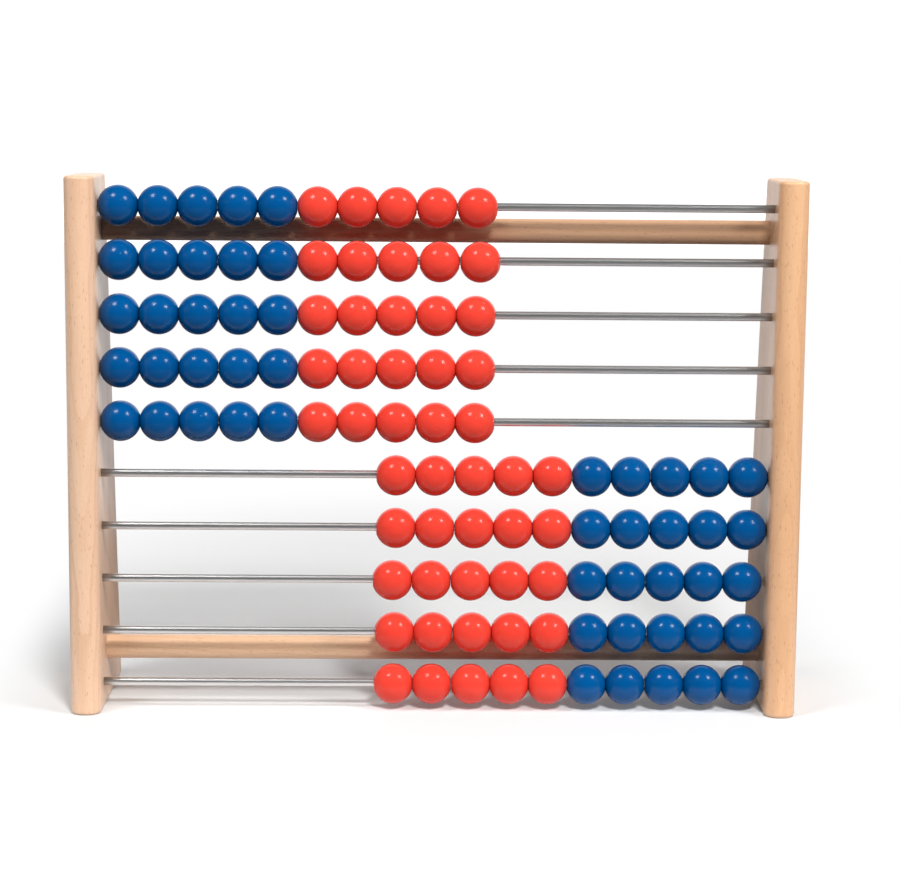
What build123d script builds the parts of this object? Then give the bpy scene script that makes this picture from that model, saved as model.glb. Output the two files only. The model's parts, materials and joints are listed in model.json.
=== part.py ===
"""A hundred-bead abacus: ten steel rods between two beech side panels, ten beads on each rod.

Frame: +X runs along the rods, +Y to the back, +Z up.
The origin is on the floor, under the middle of the whole object.
Rod 1 is the top one and rod 10 the bottom one. Lengths are in millimetres.
"""

import os
from math import sqrt

from build123d import *

# Side panels
INNER_WIDTH = 328  # between the two inner faces
PANEL_THICKNESS = 15
PANEL_HEIGHT = 264
PANEL_TOP_DEPTH = 51
PANEL_FOOT_DEPTH = 92
NOSE_RADIUS = 7.2  # rounding of the front and back edges, almost half the thickness
PANEL_EASING = 1.6  # rounding round the top and the foot

# Rods
ROD_COUNT = 10
ROD_DIAMETER = 4
ROD_PITCH = 26.3
LOWEST_ROD_HEIGHT = 13.3
ROD_SETBACK = 17  # rod axes behind the panels' front edge
ROD_HOLE_DEPTH = 10
ROD_END_CHAMFER = 0.4

# Beads
BEADS_PER_ROD = 10
BEAD_DIAMETER = 20
BEAD_BORE_DIAMETER = 5.2
BEAD_SAG = 0.5  # beads hang on their rods: bead centres lie this far below the rod axes
BEAD_MOUTH_CHAMFER = 0.3
BEAD_GAP = 0.05  # between two beads of one group
GROUP_GAP = 0.3  # between two groups
WALL_GAP = 0.2  # between the first bead and the panel that it stands against
GROUP_SIZES = (3, 2, 3, 2)  # counted from that panel; the colour changes after the fifth bead
GROUP_LAST_BEADS = [sum(GROUP_SIZES[:groups]) for groups in range(1, len(GROUP_SIZES))]
LEFT_RODS = 5  # on rods 1 to 5 the beads stand at the left, on the others at the right

# Beads that were pushed home a little less tightly than the rest
LOOSE_WALL_GAPS = {8: 1.8, 9: 0.7, 10: 1.2}  # rod: gap to the panel
LOOSE_BEAD_GAPS = {(2, 7): 0.6, (2, 8): 1.1, (2, 9): 0.7, (1, 9): 0.5}  # (rod, bead): gap after it

# Crossbars
BAR_DIAMETER = 12
BAR_SETBACK = 34  # bar axes behind the panels' front edge
BAR_RISE = 0.75  # above the middle of the two rods that a bar lies between
BAR_SOCKET_DEPTH = 6
BAR_END_CHAMFER = 0.5
UPPER_BAR_BELOW_ROD = 1
LOWER_BAR_BELOW_ROD = 9

# Countersunk wood screws, one into each end of each crossbar
SCREW_LENGTH = 35
SCREW_HEAD_DIAMETER = 7.6
SCREW_HEAD_SINK = 0.2
SCREW_HEAD_RIM = 0.4
SCREW_SHANK_DIAMETER = 3.8
SCREW_CORE_DIAMETER = 2.6
SCREW_SHANK_LENGTH = 13
SCREW_TIP_LENGTH = 4
SCREW_THREAD_PITCH = 1.8
SCREW_RECESS_SPAN = 4.4
SCREW_RECESS_SLOT = 0.9
SCREW_RECESS_DEPTH = 1.8
SCREW_COUNTERSINK_DIAMETER = 9

FIT = 0.05  # radial clearance round rod ends, bar ends and screws

# Worked out from the dimensions above
OUTER_HALF_WIDTH = INNER_WIDTH / 2 + PANEL_THICKNESS
FRONT = -PANEL_FOOT_DEPTH / 2
ROD_Y = FRONT + ROD_SETBACK
BAR_Y = FRONT + BAR_SETBACK
MOUTH_RADIUS = BEAD_BORE_DIAMETER / 2 + BEAD_MOUTH_CHAMFER
BEAD_LENGTH = 2 * sqrt((BEAD_DIAMETER / 2) ** 2 - MOUTH_RADIUS**2)


def rod_height(rod):
    """Height of a rod's axis above the floor."""
    return LOWEST_ROD_HEIGHT + (ROD_COUNT - rod) * ROD_PITCH


def bar_height(rod_above):
    """Height of the axis of the crossbar that lies just below a rod."""
    return rod_height(rod_above) - ROD_PITCH / 2 + BAR_RISE


ROD_HEIGHTS = [rod_height(rod) for rod in range(1, ROD_COUNT + 1)]
BAR_HEIGHTS = [bar_height(rod) for rod in (UPPER_BAR_BELOW_ROD, LOWER_BAR_BELOW_ROD)]


def finish(builder, name):
    """Label a finished sub-part and write it to parts/."""
    builder.part.label = name
    export_step(builder.part, f"parts/{name}.step")


def make_right_panel():
    """A beech board, deeper at the foot, drilled for the rods, the crossbars and their screws."""
    inner_face = Plane((INNER_WIDTH / 2, 0, 0), x_dir=(0, -1, 0), z_dir=(-1, 0, 0))
    outer_face = Plane((OUTER_HALF_WIDTH, 0, 0), x_dir=(0, 1, 0), z_dir=(1, 0, 0))
    with BuildPart() as panel:
        with BuildSketch(Plane.YZ.offset(INNER_WIDTH / 2)):
            with BuildLine():
                Polyline(
                    (FRONT, 0),
                    (FRONT, PANEL_HEIGHT),
                    (FRONT + PANEL_TOP_DEPTH, PANEL_HEIGHT),
                    (FRONT + PANEL_FOOT_DEPTH, 0),
                    close=True,
                )
            make_face()
        extrude(amount=PANEL_THICKNESS)
        upright_edges = panel.edges().filter_by_position(Axis.Z, 1, PANEL_HEIGHT - 1)
        fillet(upright_edges, NOSE_RADIUS)
        outlines = panel.edges().group_by(Axis.Z)
        fillet(outlines[0] + outlines[-1], PANEL_EASING)
        with Locations(inner_face):
            with Locations(*[(-ROD_Y, height) for height in ROD_HEIGHTS]):
                Hole(ROD_DIAMETER / 2 + FIT, depth=ROD_HOLE_DEPTH)
            with Locations(*[(-BAR_Y, height) for height in BAR_HEIGHTS]):
                Hole(BAR_DIAMETER / 2 + FIT, depth=BAR_SOCKET_DEPTH)
        with Locations(outer_face):
            with Locations(*[(BAR_Y, height) for height in BAR_HEIGHTS]):
                CounterSinkHole(
                    SCREW_SHANK_DIAMETER / 2 + FIT, SCREW_COUNTERSINK_DIAMETER / 2, depth=PANEL_THICKNESS
                )
    return panel


def make_rod(rod):
    """A steel rod with its ends in the panels' blind holes."""
    with BuildPart() as steel:
        with Locations((0, ROD_Y, rod_height(rod))):
            length = INNER_WIDTH + 2 * (ROD_HOLE_DEPTH - FIT)
            Cylinder(ROD_DIAMETER / 2, length, rotation=(0, 90, 0))
        chamfer(steel.edges().filter_by(GeomType.CIRCLE), ROD_END_CHAMFER)
    return steel


def make_crossbar(rod_above):
    """A round beech bar with a pilot hole for a screw in each end."""
    length = INNER_WIDTH + 2 * (BAR_SOCKET_DEPTH - FIT)
    pilot_depth = SCREW_LENGTH - (PANEL_THICKNESS - BAR_SOCKET_DEPTH) + 1
    with BuildPart() as bar:
        with BuildSketch(Plane.YZ.offset(-length / 2)):
            with Locations((BAR_Y, bar_height(rod_above))):
                Circle(BAR_DIAMETER / 2)
        extrude(amount=length)
        chamfer(bar.edges().filter_by(GeomType.CIRCLE), BAR_END_CHAMFER)
        ends = bar.faces().filter_by(Axis.X)
        with Locations(*[Plane(end) for end in ends]):
            Hole(SCREW_SHANK_DIAMETER / 2 + FIT, depth=pilot_depth)
    return bar


def make_bead():
    """One bored bead at the origin, its bore along X."""
    half = BEAD_LENGTH / 2
    bore = BEAD_BORE_DIAMETER / 2
    with BuildPart() as bead:
        with BuildSketch(Plane.XZ):
            with BuildLine():
                ThreePointArc((-half, MOUTH_RADIUS), (0, BEAD_DIAMETER / 2), (half, MOUTH_RADIUS))
                Polyline(
                    (half, MOUTH_RADIUS),
                    (half - BEAD_MOUTH_CHAMFER, bore),
                    (BEAD_MOUTH_CHAMFER - half, bore),
                    (-half, MOUTH_RADIUS),
                )
            make_face()
        revolve(axis=Axis.X)
    return bead.part


def gap_after(rod, bead):
    """The gap between a bead and the next one on its rod, counted from the panel."""
    last_of_group = bead in GROUP_LAST_BEADS
    return LOOSE_BEAD_GAPS.get((rod, bead), GROUP_GAP if last_of_group else BEAD_GAP)


def bead_places(rod):
    """Centres of a rod's beads, from the panel that they stand against towards the free end."""
    towards_free_end = 1 if rod <= LEFT_RODS else -1
    distance = LOOSE_WALL_GAPS.get(rod, WALL_GAP) + BEAD_LENGTH / 2
    places = []
    for bead in range(1, BEADS_PER_ROD + 1):
        places.append((towards_free_end * (distance - INNER_WIDTH / 2), ROD_Y, rod_height(rod) - BEAD_SAG))
        distance += BEAD_LENGTH + gap_after(rod, bead)
    return places


def make_screw_profile():
    """Half section of a screw along +X from its head's face: head, shank, thread rings and tip."""
    head = SCREW_HEAD_DIAMETER / 2
    shank = SCREW_SHANK_DIAMETER / 2
    core = SCREW_CORE_DIAMETER / 2
    neck = SCREW_HEAD_RIM + head - shank
    points = [(0, 0), (0, head), (SCREW_HEAD_RIM, head), (neck, shank), (SCREW_SHANK_LENGTH, shank)]
    rings = int((SCREW_LENGTH - SCREW_TIP_LENGTH - SCREW_SHANK_LENGTH) / SCREW_THREAD_PITCH)
    for ring in range(rings):
        root = SCREW_SHANK_LENGTH + (ring + 0.5) * SCREW_THREAD_PITCH
        points += [(root, core), (root + SCREW_THREAD_PITCH / 2, shank)]
    points += [(SCREW_LENGTH - SCREW_TIP_LENGTH, core), (SCREW_LENGTH, 0)]
    return points


def make_screw():
    """One countersunk cross-recessed wood screw pointing along +X, its head's face at the origin."""
    with BuildPart() as screw:
        with BuildSketch(Plane.XY):
            with BuildLine():
                Polyline(*make_screw_profile(), close=True)
            make_face()
        revolve(axis=Axis.X)
        with BuildSketch(Plane.YZ):
            Rectangle(SCREW_RECESS_SPAN, SCREW_RECESS_SLOT)
            Rectangle(SCREW_RECESS_SLOT, SCREW_RECESS_SPAN)
        extrude(amount=SCREW_RECESS_DEPTH, mode=Mode.SUBTRACT)
    return screw.part


os.makedirs("parts", exist_ok=True)

# Side panels
right_side_panel = make_right_panel()
with BuildPart() as left_side_panel:
    mirror(right_side_panel.part, about=Plane.YZ)
finish(right_side_panel, "right_side_panel")
finish(left_side_panel, "left_side_panel")

# Rods
for rod in range(1, ROD_COUNT + 1):
    finish(make_rod(rod), f"rod_{rod:02d}")

# Crossbars and their screws
finish(make_crossbar(UPPER_BAR_BELOW_ROD), "upper_crossbar")
finish(make_crossbar(LOWER_BAR_BELOW_ROD), "lower_crossbar")
one_screw = make_screw()
with BuildPart() as crossbar_screws:
    head_x = OUTER_HALF_WIDTH - SCREW_HEAD_SINK
    with Locations(*[Location((-head_x, BAR_Y, height)) for height in BAR_HEIGHTS]):
        add(one_screw)
    with Locations(*[Location((head_x, BAR_Y, height), (0, 0, 180)) for height in BAR_HEIGHTS]):
        add(one_screw)
finish(crossbar_screws, "crossbar_screws")

# Beads: four groups on each rod, in order from the panel that they stand against
one_bead = make_bead()
for rod in range(1, ROD_COUNT + 1):
    near_colour, far_colour = "blue", "red"
    places = bead_places(rod)
    first = 0
    for size in GROUP_SIZES:
        with BuildPart() as bead_group:
            with Locations(*places[first : first + size]):
                add(one_bead)
        colour = near_colour if first < BEADS_PER_ROD / 2 else far_colour
        finish(bead_group, f"rod_{rod:02d}_{colour}_beads_{first + 1}_to_{first + size}")
        first += size
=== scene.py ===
"""Look of the hundred-bead abacus: beech, glossy lacquer and drawn steel, on a white studio floor."""

import json
import math
import random

import bmesh
import bpy
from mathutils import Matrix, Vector


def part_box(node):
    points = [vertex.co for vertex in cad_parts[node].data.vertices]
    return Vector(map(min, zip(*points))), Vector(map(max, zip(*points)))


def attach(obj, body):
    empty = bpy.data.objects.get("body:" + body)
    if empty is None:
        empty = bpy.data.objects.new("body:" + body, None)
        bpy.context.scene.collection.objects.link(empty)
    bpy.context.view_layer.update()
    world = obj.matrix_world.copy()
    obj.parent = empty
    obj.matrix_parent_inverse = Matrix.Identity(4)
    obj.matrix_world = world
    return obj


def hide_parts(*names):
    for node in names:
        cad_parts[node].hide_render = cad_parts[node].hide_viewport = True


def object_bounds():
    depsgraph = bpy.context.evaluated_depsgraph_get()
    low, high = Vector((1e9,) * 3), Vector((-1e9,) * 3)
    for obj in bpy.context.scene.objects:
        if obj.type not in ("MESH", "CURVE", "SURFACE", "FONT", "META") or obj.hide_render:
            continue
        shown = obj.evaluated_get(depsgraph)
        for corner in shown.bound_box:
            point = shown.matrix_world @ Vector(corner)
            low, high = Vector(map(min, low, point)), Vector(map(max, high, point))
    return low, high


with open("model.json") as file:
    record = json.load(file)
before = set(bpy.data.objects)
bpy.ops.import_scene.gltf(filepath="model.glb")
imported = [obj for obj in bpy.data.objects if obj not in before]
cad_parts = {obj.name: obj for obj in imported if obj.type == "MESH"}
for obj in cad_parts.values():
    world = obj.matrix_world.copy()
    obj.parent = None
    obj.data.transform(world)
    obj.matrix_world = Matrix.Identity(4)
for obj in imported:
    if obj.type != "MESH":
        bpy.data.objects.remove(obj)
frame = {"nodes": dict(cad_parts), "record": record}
cad_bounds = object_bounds()
MM = 0.001

# Beads, as the frame has them
BEAD_RADIUS = 10 * MM
BORE_RADIUS = 2.6 * MM
MOUTH_RADIUS = 2.9 * MM
MOUTH_HALF_LENGTH = math.sqrt(BEAD_RADIUS**2 - MOUTH_RADIUS**2)
BEAD_SEGMENTS = 72
BEAD_ARC_POINTS = 32

# Colours, linear; a tone is a tint over a whole piece of wood
BEECH_PALE = (0.800, 0.560, 0.380)
BEECH_WARM = (0.680, 0.410, 0.240)
BEECH_LINE = (0.560, 0.310, 0.170)
BEECH_FLECK = (0.400, 0.200, 0.105)
FOOT_SCUFF = (0.420, 0.330, 0.260)
BLUE = (0.000, 0.068, 0.225)
BLUE_DEEP = (0.000, 0.053, 0.182)
RED = (0.672, 0.048, 0.030)
RED_DEEP = (0.595, 0.036, 0.022)
STEEL = (0.790, 0.785, 0.780)
STEEL_CLOUD = (0.700, 0.695, 0.690)
STEEL_LINE = (0.420, 0.415, 0.410)
STEEL_RUBBED = (0.860, 0.855, 0.850)
# Painted shade and reflection of the panels on the rods' ends
PAINTED_ROD_END_SHADE = (0.230, 0.160, 0.120)
ZINC = (0.640, 0.650, 0.670)
ZINC_SPOT = (0.380, 0.385, 0.400)
PAPER_DARK = (0.690, 0.690, 0.690)
PAPER_PALE = (0.720, 0.720, 0.720)
LEFT_PANEL_TONE = (0.930, 0.920, 0.955)
RIGHT_PANEL_TONE = (0.855, 0.745, 0.630)
# The upper bar is darker partly for its wood's tone and partly as painted shade on its front
UPPER_BAR_TONE_AND_SHADE = (0.660, 0.600, 0.560)
LOWER_BAR_TONE = (1.000, 1.000, 1.000)

# Beech: widths in metres, and how often a pattern repeats per metre (across, across, along the grain)
RING_WIDTH = 2.6 * MM
RING_WANDER = 26 * MM
SEASON_WIDTH = 9 * MM  # over how many metres of rings faint and strong ones alternate
WANDER_SCALE = (17.0, 17.0, 4.5)
BAND_SCALE = (55.0, 55.0, 4.0)
FIBRE_SCALE = (2600.0, 2600.0, 120.0)
PORE_SCALE = (3200.0, 3200.0, 300.0)
SMALL_FLECK_SCALE = (1500.0, 1500.0, 420.0)
LARGE_FLECK_SCALE = (1150.0, 1150.0, 240.0)
SCUFF_HEIGHT = 3.5 * MM
GRAIN_RELIEF = 0.06 * MM

# Lacquer and metal
LACQUER_ROUGHNESS = 0.185
PEEL_RELIEF = 0.001 * MM
DRAWN_RELIEF = 0.02 * MM
END_SHADE_REACH = 6.5 * MM  # how far the painted shade and reflection of the panel on a rod reach out of it
END_SHADE_FULL = 0.5 * MM

# Light: softboxes as (direction from the object, distance, diameter, power)
FLOOR_BOUNCE_NEAR = (0.70, 0.70, 0.70)  # how much of the light the floor gives back to the object
FLOOR_BOUNCE_FAR = (0.16, 0.16, 0.16)
ROOM_LIGHT = 0.055
BACK_WALL_LIGHT = 1.3
KEY_LEFT = ((-0.40, -0.40, 0.83), 1.9, 0.50, 13.5)
KEY_RIGHT = ((0.58, -0.42, 0.70), 1.9, 0.50, 13.5)
FILL = ((0.16, -0.74, 0.65), 2.2, 0.42, 46.0)
SIDE_LEFT = ((-0.86, -0.38, 0.34), 2.2, 1.0, 9.0)
SIDE_RIGHT = ((0.86, -0.38, 0.34), 2.2, 1.0, 11.7)

# Camera: lens and sensor in millimetres, places in metres, angles in degrees
LENS = 94.0
SENSOR_WIDTH = 36.0
CAMERA_SIDEWAYS = -0.0112
CAMERA_BEFORE_FRONT = 1.1252
CAMERA_HEIGHT = 0.306
CAMERA_LOOKS_DOWN = 8.38
CAMERA_ROLL = -0.49
CAMERA_TURN = -0.85


# ---------------------------------------------------------------- node helpers


class Nodes:
    """Short calls for building a node tree."""

    def __init__(self, tree):
        self.tree = tree

    def add(self, kind, **settings):
        node = self.tree.nodes.new("ShaderNode" + kind)
        for key, value in settings.items():
            setattr(node, key, value)
        return node

    def set(self, socket, value):
        """Link a socket, or set its constant."""
        if isinstance(value, bpy.types.NodeSocket):
            self.tree.links.new(value, socket)
        elif hasattr(socket.default_value, "__len__") and len(socket.default_value) == 4:
            socket.default_value = (*value, 1.0) if len(value) == 3 else value
        else:
            socket.default_value = value

    def math(self, operation, *values):
        node = self.add("Math", operation=operation)
        for socket, value in zip(node.inputs, values):
            self.set(socket, value)
        return node.outputs[0]

    def vector(self, operation, *values):
        node = self.add("VectorMath", operation=operation)
        for socket, value in zip(node.inputs, values):
            self.set(socket, value)
        return node.outputs["Value" if operation == "LENGTH" else "Vector"]

    def place(self):
        """The point's place in the frame, in metres."""
        return self.add("TexCoord").outputs["Object"]

    def split(self, vector):
        node = self.add("SeparateXYZ")
        self.set(node.inputs[0], vector)
        return node.outputs

    def join(self, x, y, z):
        node = self.add("CombineXYZ")
        for socket, value in zip(node.inputs, (x, y, z)):
            self.set(socket, value)
        return node.outputs[0]

    def noise(self, vector, scale, detail=2.0, roughness=0.5):
        """Cloudy noise. A scale of three numbers stretches it along the axes."""
        if isinstance(scale, tuple):
            vector, scale = self.vector("MULTIPLY", vector, scale), 1.0
        node = self.add("TexNoise")
        settings = {"Vector": vector, "Scale": scale, "Detail": detail, "Roughness": roughness}
        for name, value in settings.items():
            self.set(node.inputs[name], value)
        return node.outputs["Fac"]

    def cells(self, vector, scale):
        """Distance to the nearest cell centre, and that cell's random value."""
        node = self.add("TexVoronoi")
        self.set(node.inputs["Vector"], self.vector("MULTIPLY", vector, scale))
        self.set(node.inputs["Scale"], 1.0)
        return node.outputs["Distance"], self.split(node.outputs["Color"])[0]

    def spread(self, value, low, high, to_low=0.0, to_high=1.0, smooth=True):
        """Map low..high to to_low..to_high, clamped."""
        kind = "SMOOTHSTEP" if smooth else "LINEAR"
        node = self.add("MapRange", interpolation_type=kind)
        for socket, number in zip(node.inputs, (value, low, high, to_low, to_high)):
            self.set(socket, number)
        return node.outputs[0]

    def blend(self, factor, first, second, how="MIX"):
        node = self.add("Mix", data_type="RGBA", blend_type=how)
        self.set(node.inputs["Factor"], factor)
        self.set(node.inputs["A"], first)
        self.set(node.inputs["B"], second)
        return node.outputs["Result"]

    def bump(self, height, distance):
        node = self.add("Bump")
        self.set(node.inputs["Height"], height)
        self.set(node.inputs["Distance"], distance)
        return node.outputs[0]

    def seen_by_camera(self):
        """1 for what the camera sees directly, 0 for light that bounces or reflects."""
        return self.add("LightPath").outputs["Is Camera Ray"]


class MaterialNodes(Nodes):
    """A new material's node tree, with its shader."""

    def __init__(self, name):
        self.material = bpy.data.materials.new(name)
        self.material.use_nodes = True
        super().__init__(self.material.node_tree)
        self.shader = self.tree.nodes["Principled BSDF"]

    def shade(self, **values):
        """Set the shader's sockets by name, with underscores for spaces."""
        for name, value in values.items():
            self.set(self.shader.inputs[name.replace("_", " ")], value)
        return self.material


# ---------------------------------------------------------------- beech


def ray_flecks(n, place, scale, bare_share, smallest, largest):
    """Scattered spindles in all but bare_share of the cells; sizes are parts of a cell."""
    spindle, kind = n.cells(place, scale)
    size = n.spread(kind, bare_share, 1.0, smallest, largest, smooth=False)
    shape = n.spread(spindle, size, n.math("MULTIPLY", size, 0.40))
    return n.math("MULTIPLY", n.math("LESS_THAN", bare_share, kind), shape)


def beech(name, grain, pith, ring_slope, seed, tone):
    """Steamed beech, solid all the way through.

    grain is the axis that the fibres run along, pith a point on the tree's middle line in metres,
    ring_slope how far the rings drift sideways per metre of grain, and tone a tint over the whole piece.
    """
    n = MaterialNodes(name)
    x, y, z = n.split(n.place())
    along, across, through = {"X": (x, y, z), "Z": (z, y, x)}[grain]
    shifted = n.join(n.math("ADD", through, seed * 0.37), across, n.math("ADD", along, seed * 1.31))

    # Growth rings: distance from the pith, bent by slow wander
    wander = n.noise(shifted, WANDER_SCALE, detail=4.0)
    from_pith = n.vector(
        "LENGTH", n.join(n.math("SUBTRACT", through, pith[0]), n.math("SUBTRACT", across, pith[1]), 0.0)
    )
    radius = n.math("ADD", from_pith, n.math("MULTIPLY", along, ring_slope))
    radius = n.math("ADD", radius, n.math("MULTIPLY", n.math("SUBTRACT", wander, 0.5), RING_WANDER))
    ring = n.math("FRACT", n.math("DIVIDE", radius, RING_WIDTH))
    late = n.spread(ring, 0.45, 0.94)
    line = n.math("MULTIPLY", late, n.spread(ring, 1.0, 0.95))
    season = n.noise(n.math("DIVIDE", radius, SEASON_WIDTH), 1.0)
    line = n.math("MULTIPLY", line, n.spread(season, 0.35, 0.65, 0.25, 1.0))

    # Broad bands of paler and warmer wood
    band = n.noise(shifted, BAND_SCALE)
    colour = n.blend(n.spread(band, 0.25, 0.78, 0.15, 0.75), BEECH_PALE, BEECH_WARM)
    colour = n.blend(n.math("MULTIPLY", line, 0.36), colour, BEECH_LINE)

    # Fine fibres and pores along the grain
    fibre = n.noise(shifted, FIBRE_SCALE, detail=3.0, roughness=0.6)
    colour = n.blend(n.spread(fibre, 0.35, 0.75, 0.0, 0.18), colour, BEECH_LINE)
    pore, pore_kind = n.cells(shifted, PORE_SCALE)
    pores = n.math("MULTIPLY", n.spread(pore, 0.30, 0.12), n.spread(pore_kind, 0.45, 0.60))
    colour = n.blend(n.math("MULTIPLY", pores, 0.22), colour, BEECH_FLECK)

    # Ray flecks: short dark spindles along the grain, large ones over many small ones
    small = ray_flecks(n, shifted, SMALL_FLECK_SCALE, 0.36, 0.12, 0.34)
    large = ray_flecks(n, shifted, LARGE_FLECK_SCALE, 0.45, 0.15, 0.37)
    colour = n.blend(n.math("MULTIPLY", small, 0.22), colour, BEECH_FLECK)
    colour = n.blend(n.math("MULTIPLY", large, 0.52), colour, BEECH_FLECK)
    fleck = n.math("MAXIMUM", large, small)
    colour = n.blend(1.0, colour, tone, how="MULTIPLY")

    # The foot is scuffed and a little grey where it stands on tables
    worn = n.spread(n.noise(n.place(), 900.0), 0.35, 0.65)
    scuff = n.math("MULTIPLY", n.spread(z, SCUFF_HEIGHT, 0.0), worn)
    colour = n.blend(n.math("MULTIPLY", scuff, 0.45), colour, FOOT_SCUFF)

    # Relief and gloss: fibres and rings stand up, pores are pits, and flecks shine a little more
    surface = n.math("ADD", n.math("MULTIPLY", fibre, 0.6), n.math("MULTIPLY", pores, -0.8))
    surface = n.math("ADD", surface, n.math("MULTIPLY", line, 0.25))
    rough = n.math("ADD", n.spread(band, 0.2, 0.8, 0.40, 0.52), n.math("MULTIPLY", pores, 0.12))
    rough = n.math("SUBTRACT", rough, n.math("MULTIPLY", fleck, 0.08))
    return n.shade(
        Base_Color=colour,
        Roughness=rough,
        IOR=1.48,
        Coat_Weight=0.40,
        Coat_Roughness=0.24,
        Normal=n.bump(surface, GRAIN_RELIEF),
    )


# ---------------------------------------------------------------- lacquered beads


def lacquer(name, colour, deep, low, high, count, seed):
    """Glossy lacquer over the turned beads between low and high, with bare wood inside their bores."""
    n = MaterialNodes(name)
    place = n.place()
    x, y, z = n.split(place)
    middle = (low + high) / 2
    forward, up = n.math("SUBTRACT", y, middle.y), n.math("SUBTRACT", z, middle.z)
    off_axis = n.vector("LENGTH", n.join(forward, up, 0.0))

    # Slight differences in depth of colour from bead to bead and over each bead
    bead_number = n.math("FLOOR", n.spread(x, low.x, high.x, 0.01, count - 0.01, smooth=False))
    white = n.add("TexWhiteNoise", noise_dimensions="1D")
    n.set(white.inputs["W"], n.math("ADD", bead_number, seed))
    cloud = n.noise(place, 160.0, detail=2.0)
    depth = n.math("ADD", n.math("MULTIPLY", white.outputs["Value"], 0.35), n.math("MULTIPLY", cloud, 0.45))
    body = n.blend(depth, colour, deep)

    # Painted shade: darker lacquer in a ring round each mouth, where the beads touch, and the bore itself
    # is bare wood
    painted_joint_shade = n.spread(off_axis, MOUTH_RADIUS * 1.35, MOUTH_RADIUS)
    body = n.blend(n.math("MULTIPLY", painted_joint_shade, 0.55), body, deep)
    bare = n.spread(off_axis, MOUTH_RADIUS * 0.97, BORE_RADIUS * 1.01)
    grain = n.noise(place, (200.0, 1800.0, 1800.0), detail=3.0)
    body = n.blend(bare, body, n.blend(grain, BEECH_PALE, BEECH_LINE))

    # Faint orange peel, and fine rubbed marks where beads knock together
    peel = n.noise(place, 420.0, detail=1.0)
    rub = n.noise(place, (900.0, 5000.0, 5000.0), detail=3.0)
    contact = n.spread(off_axis, MOUTH_RADIUS * 1.9, MOUTH_RADIUS * 1.1)
    rough = n.math("ADD", LACQUER_ROUGHNESS, n.math("MULTIPLY", n.math("MULTIPLY", contact, rub), 0.25))
    rough = n.math("ADD", rough, n.math("MULTIPLY", bare, 0.4))
    return n.shade(
        Base_Color=body,
        Roughness=rough,
        IOR=1.5,
        Specular_IOR_Level=0.24,
        Normal=n.bump(peel, PEEL_RELIEF),
    )


# ---------------------------------------------------------------- steel


def drawn_steel(name, seed, inner_face):
    """Bright drawn wire: fine lines along it, cloudy tone, and pale rings where beads rub."""
    n = MaterialNodes(name)
    place = n.place()
    x, y, z = n.split(place)
    moved = n.join(n.math("ADD", x, seed * 0.7), y, z)
    draw = n.noise(moved, (18.0, 5200.0, 5200.0), detail=4.0, roughness=0.65)
    cloud = n.noise(moved, (60.0, 300.0, 300.0), detail=3.0)
    rubbed = n.noise(moved, (1400.0, 30.0, 30.0))
    rings = n.spread(rubbed, 0.60, 0.75)
    colour = n.blend(n.spread(cloud, 0.3, 0.7, 0.0, 0.45), STEEL, STEEL_CLOUD)
    colour = n.blend(n.spread(draw, 0.40, 0.80, 0.0, 0.40), colour, STEEL_LINE)
    colour = n.blend(n.math("MULTIPLY", rings, 0.18), colour, STEEL_RUBBED)
    rough = n.math("ADD", n.spread(draw, 0.25, 0.75, 0.30, 0.44), n.math("MULTIPLY", cloud, 0.06))

    # Painted shade: a dull brown darkening where the rod goes into each panel stands in for the panel's
    # shadow and reflection in the steel
    reach = n.math("ADD", n.math("ABSOLUTE", x), n.math("MULTIPLY", n.math("SUBTRACT", cloud, 0.5), 0.006))
    painted_end_shade = n.spread(reach, inner_face - END_SHADE_REACH, inner_face - END_SHADE_FULL)
    colour = n.blend(n.math("MULTIPLY", painted_end_shade, 0.75), colour, PAINTED_ROD_END_SHADE)
    rough = n.math("ADD", rough, n.math("MULTIPLY", painted_end_shade, 0.2))
    return n.shade(Base_Color=colour, Metallic=1.0, Roughness=rough, Normal=n.bump(draw, DRAWN_RELIEF))


def zinc_plate(name):
    """Bright zinc on the screws, with fine tool marks and small dull spots."""
    n = MaterialNodes(name)
    place = n.place()
    spots = n.noise(place, 1800.0, detail=3.0)
    turned = n.noise(place, (4000.0, 700.0, 700.0))
    colour = n.blend(n.spread(spots, 0.45, 0.75, 0.0, 0.5), ZINC, ZINC_SPOT)
    rough = n.math("ADD", n.spread(spots, 0.3, 0.7, 0.22, 0.42), n.math("MULTIPLY", turned, 0.05))
    return n.shade(Base_Color=colour, Metallic=1.0, Roughness=rough, Normal=n.bump(turned, DRAWN_RELIEF))


# ---------------------------------------------------------------- pieces


def dress(node, material):
    """Give a CAD node one material."""
    obj = frame["nodes"][node]
    obj.data.materials.clear()
    obj.data.materials.append(material)
    for face in obj.data.polygons:
        face.material_index = 0


def bead_profile():
    """One bead's outline from mouth to mouth, then back through the bore: (x, radius) points."""
    start = math.atan2(MOUTH_RADIUS, MOUTH_HALF_LENGTH)
    points = []
    for step in range(BEAD_ARC_POINTS + 1):
        angle = start + (math.pi - 2 * start) * step / BEAD_ARC_POINTS
        points.append((BEAD_RADIUS * math.cos(angle), BEAD_RADIUS * math.sin(angle)))
    # A small roll of lacquer turns in from each mouth to the bore
    roll = MOUTH_RADIUS - BORE_RADIUS
    turn_in = [(-math.cos(a) * roll, math.sin(a) * roll) for a in (0.5, 1.0, 1.5)]
    left = [(-MOUTH_HALF_LENGTH + roll + dx, BORE_RADIUS + roll - dr) for dx, dr in turn_in]
    right = [(-px, pr) for px, pr in reversed(left)]
    return points + left + right


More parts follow.
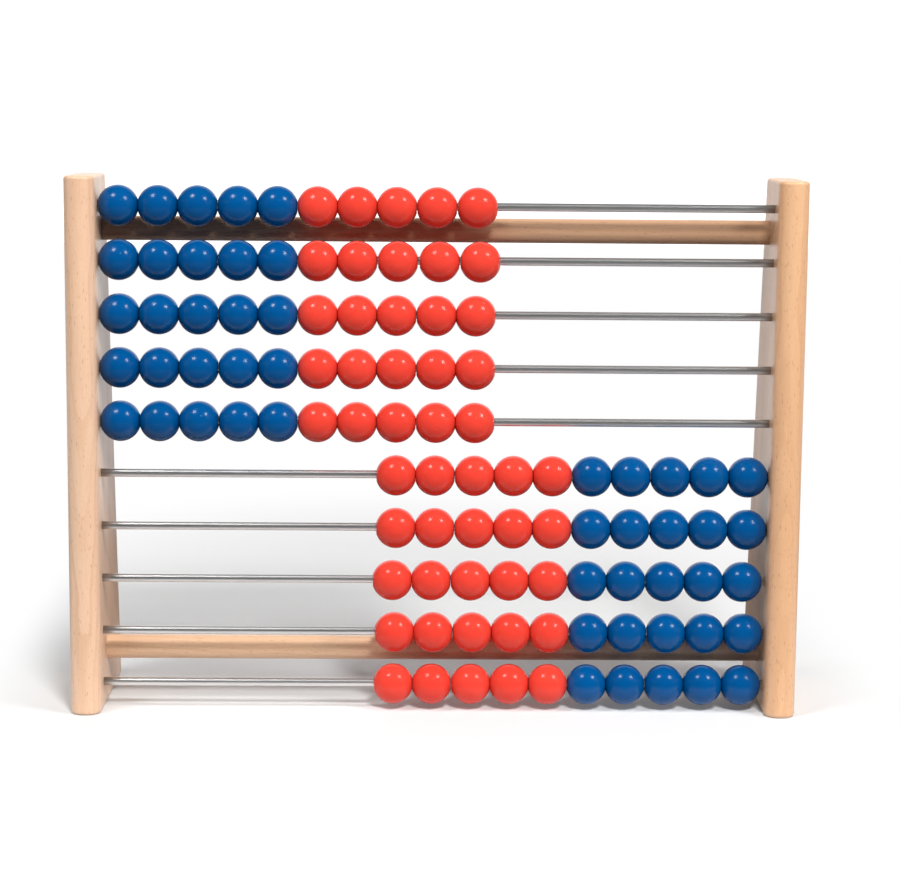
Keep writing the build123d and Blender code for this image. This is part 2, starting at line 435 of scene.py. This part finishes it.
def add_bead(mesh, centre, turn):
    """Spin the outline round the rod's direction into a bmesh."""
    outline = bead_profile()
    rings = []
    for x, radius in outline:
        ring = []
        for step in range(BEAD_SEGMENTS):
            angle = turn + 2 * math.pi * step / BEAD_SEGMENTS
            offset = Vector((x, radius * math.cos(angle), radius * math.sin(angle)))
            ring.append(mesh.verts.new(centre + offset))
        rings.append(ring)
    for index, ring in enumerate(rings):
        following = rings[(index + 1) % len(rings)]
        for step in range(BEAD_SEGMENTS):
            after = (step + 1) % BEAD_SEGMENTS
            face = mesh.faces.new((ring[step], following[step], following[after], ring[after]))
            face.smooth = True


def surfaces(mesh):
    """The connected surfaces of a bmesh, each as a list of its vertices."""
    waiting = set(mesh.verts)
    while waiting:
        surface = [waiting.pop()]
        for vertex in surface:
            for edge in vertex.link_edges:
                neighbour = edge.other_vert(vertex)
                if neighbour in waiting:
                    waiting.remove(neighbour)
                    surface.append(neighbour)
        yield surface


def bead_centres(node):
    """The middle of each bead in a CAD group, from the surfaces that are about as tall as a bead."""
    low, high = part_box(node)
    middle = (low + high) / 2
    cad_object = frame["nodes"][node]
    mesh = bmesh.new()
    mesh.from_mesh(cad_object.data)
    mesh.transform(cad_object.matrix_world)
    places = []
    for surface in surfaces(mesh):
        heights = [vertex.co.z for vertex in surface]
        if max(heights) - min(heights) > 1.9 * BEAD_RADIUS:
            along = [vertex.co.x for vertex in surface]
            places.append((min(along) + max(along)) / 2)
    mesh.free()
    return [Vector((x, middle.y, middle.z)) for x in sorted(places)]


def make_beads(node, centres, material, body):
    """Replace one CAD group of beads by finely turned beads at the same places."""
    mesh = bmesh.new()
    for centre in centres:
        add_bead(mesh, centre, random.uniform(0.0, math.pi))
    bmesh.ops.recalc_face_normals(mesh, faces=mesh.faces)
    data = bpy.data.meshes.new("turned_" + node)
    mesh.to_mesh(data)
    mesh.free()
    data.materials.append(material)
    piece = bpy.data.objects.new("turned_" + node, data)
    bpy.context.scene.collection.objects.link(piece)
    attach(piece, body)
    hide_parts(node)


def dress_wood():
    """Beech on the panels and bars; each has its own pith, slope of the rings, seed and tone."""
    left_low, left_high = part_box("left_side_panel")
    right_low, right_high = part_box("right_side_panel")
    middle = (left_low.y + left_high.y) / 2
    left_pith = (left_high.x - 0.004, middle + 0.12)
    right_pith = (right_low.x + 0.010, middle + 0.10)
    dress("left_side_panel", beech("beech_left", "Z", left_pith, 0.024, 1.0, LEFT_PANEL_TONE))
    dress("right_side_panel", beech("beech_right", "Z", right_pith, -0.020, 2.0, RIGHT_PANEL_TONE))
    bars = (("upper_crossbar", 3.0, UPPER_BAR_TONE_AND_SHADE), ("lower_crossbar", 4.0, LOWER_BAR_TONE))
    for node, seed, tone in bars:
        low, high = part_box(node)
        pith = (low.z - 0.03, low.y - 0.02)
        dress(node, beech("beech_" + node, "X", pith, 0.02, seed, tone))


def dress_metal():
    """Drawn steel on the rods and zinc on the screws."""
    inner_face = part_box("right_side_panel")[0].x
    dress("crossbar_screws", zinc_plate("zinc_plate"))
    for node in sorted(frame["nodes"]):
        if node.startswith("rod_") and "_beads_" not in node:
            dress(node, drawn_steel("steel_" + node, int(node[4:6]), inner_face))


def replace_beads():
    """Turned, lacquered beads in place of every CAD group of beads."""
    random.seed(7)
    bodies = frame["record"]["behaviour"]["bodies"]
    for node in sorted(frame["nodes"]):
        if "_beads_" not in node:
            continue
        low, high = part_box(node)
        centres = bead_centres(node)
        colour, deep = (BLUE, BLUE_DEEP) if "blue" in node else (RED, RED_DEEP)
        material = lacquer("lacquer_" + node, colour, deep, low, high, len(centres), random.random() * 90)
        body = next(name for name, members in bodies.items() if node in members)
        make_beads(node, centres, material, body)


# ---------------------------------------------------------------- stage


def floor_material():
    """White paper: it takes shadows near the object and fades to plain white, and bounces little light."""
    n = MaterialNodes("studio_white")
    cloud = n.noise(n.place(), 3.0, detail=1.0)
    paper = n.blend(cloud, PAPER_DARK, PAPER_PALE)
    seen = n.seen_by_camera()
    x, y, _ = n.split(n.place())
    away = n.spread(n.math("ABSOLUTE", n.math("ADD", y, 0.01)), 0.045, 0.17)
    bounce = n.blend(away, FLOOR_BOUNCE_NEAR, FLOOR_BOUNCE_FAR)
    n.shade(Base_Color=n.blend(seen, bounce, paper), Roughness=0.6, Specular_IOR_Level=0.1)

    # Plain white far off, and beside the panels; behind the object it also lights the scene
    off_side = n.math("DIVIDE", x, 0.42)
    off_back = n.math("DIVIDE", n.math("SUBTRACT", y, 0.05), 0.60)
    distance = n.vector("LENGTH", n.join(off_side, off_back, 0.0))
    shows = n.math("MAXIMUM", seen, n.spread(y, 0.30, 0.60))
    aside = n.spread(n.math("ABSOLUTE", x), 0.182, 0.240)
    far = n.math("MULTIPLY", n.math("MAXIMUM", n.spread(distance, 0.40, 1.0), aside), shows)
    glow = n.add("Emission")
    mix = n.add("MixShader")
    n.set(mix.inputs[0], far)
    n.tree.links.new(n.shader.outputs[0], mix.inputs[1])
    n.tree.links.new(glow.outputs[0], mix.inputs[2])
    output = n.tree.nodes["Material Output"]
    n.tree.links.new(mix.outputs[0], output.inputs["Surface"])
    return n.material


def make_floor():
    """A broad plain white floor."""
    mesh = bmesh.new()
    rows = [[mesh.verts.new((x, y, 0.0)) for x in (-3.0, 3.0)] for y in (-3.0, 3.5)]
    mesh.faces.new((rows[0][0], rows[0][1], rows[1][1], rows[1][0]))
    data = bpy.data.meshes.new("studio_floor")
    mesh.to_mesh(data)
    mesh.free()
    data.materials.append(floor_material())
    floor = bpy.data.objects.new("studio_floor", data)
    bpy.context.scene.collection.objects.link(floor)


def softbox(name, aim, direction, distance, diameter, power):
    """A round softbox that shines on aim from a direction."""
    light = bpy.data.lights.new(name, "AREA")
    light.shape = "DISK"
    light.size = diameter
    light.energy = power
    lamp = bpy.data.objects.new(name, light)
    bpy.context.scene.collection.objects.link(lamp)
    lamp.location = aim + Vector(direction).normalized() * distance
    lamp.rotation_euler = (aim - lamp.location).to_track_quat("-Z", "Y").to_euler()
    return lamp


def make_world():
    """A white surround to the camera; to everything else a dim room with a white wall behind."""
    world = bpy.data.worlds.new("studio_room")
    bpy.context.scene.world = world
    world.use_nodes = True
    n = Nodes(world.node_tree)
    _, backward, _ = n.split(n.add("TexCoord").outputs["Generated"])
    behind = n.spread(backward, 0.50, 0.92)
    level = n.math("ADD", ROOM_LIGHT, n.math("MULTIPLY", behind, BACK_WALL_LIGHT))
    background = n.tree.nodes["Background"]
    n.set(background.inputs["Strength"], n.math("MAXIMUM", level, n.seen_by_camera()))
    background.inputs["Color"].default_value = (1.0, 1.0, 1.0, 1.0)


def make_lights():
    """Two softboxes that show in the lacquer, and a fill above the camera and two sides that don't."""
    low, high = cad_bounds
    aim = (Vector(low) + Vector(high)) / 2
    softbox("key_left", aim, *KEY_LEFT)
    softbox("key_right", aim, *KEY_RIGHT)
    for name, place in (("fill", FILL), ("side_left", SIDE_LEFT), ("side_right", SIDE_RIGHT)):
        softbox(name, aim, *place).visible_glossy = False
    make_world()


def make_camera():
    """A long lens in front, a little above the object's top and looking slightly down on it."""
    camera_data = bpy.data.cameras.new("camera")
    camera_data.lens = LENS
    camera_data.sensor_width = SENSOR_WIDTH
    camera_data.dof.use_dof = False
    camera = bpy.data.objects.new("camera", camera_data)
    bpy.context.scene.collection.objects.link(camera)
    front = cad_bounds[0][1]
    camera.location = (CAMERA_SIDEWAYS, front - CAMERA_BEFORE_FRONT, CAMERA_HEIGHT)
    angles = (90 - CAMERA_LOOKS_DOWN, CAMERA_ROLL, CAMERA_TURN)
    camera.rotation_euler = [math.radians(angle) for angle in angles]
    bpy.context.scene.camera = camera


def main():
    dress_wood()
    dress_metal()
    replace_beads()
    make_floor()
    make_lights()
    make_camera()
    bpy.context.scene.view_settings.view_transform = "Standard"


main()
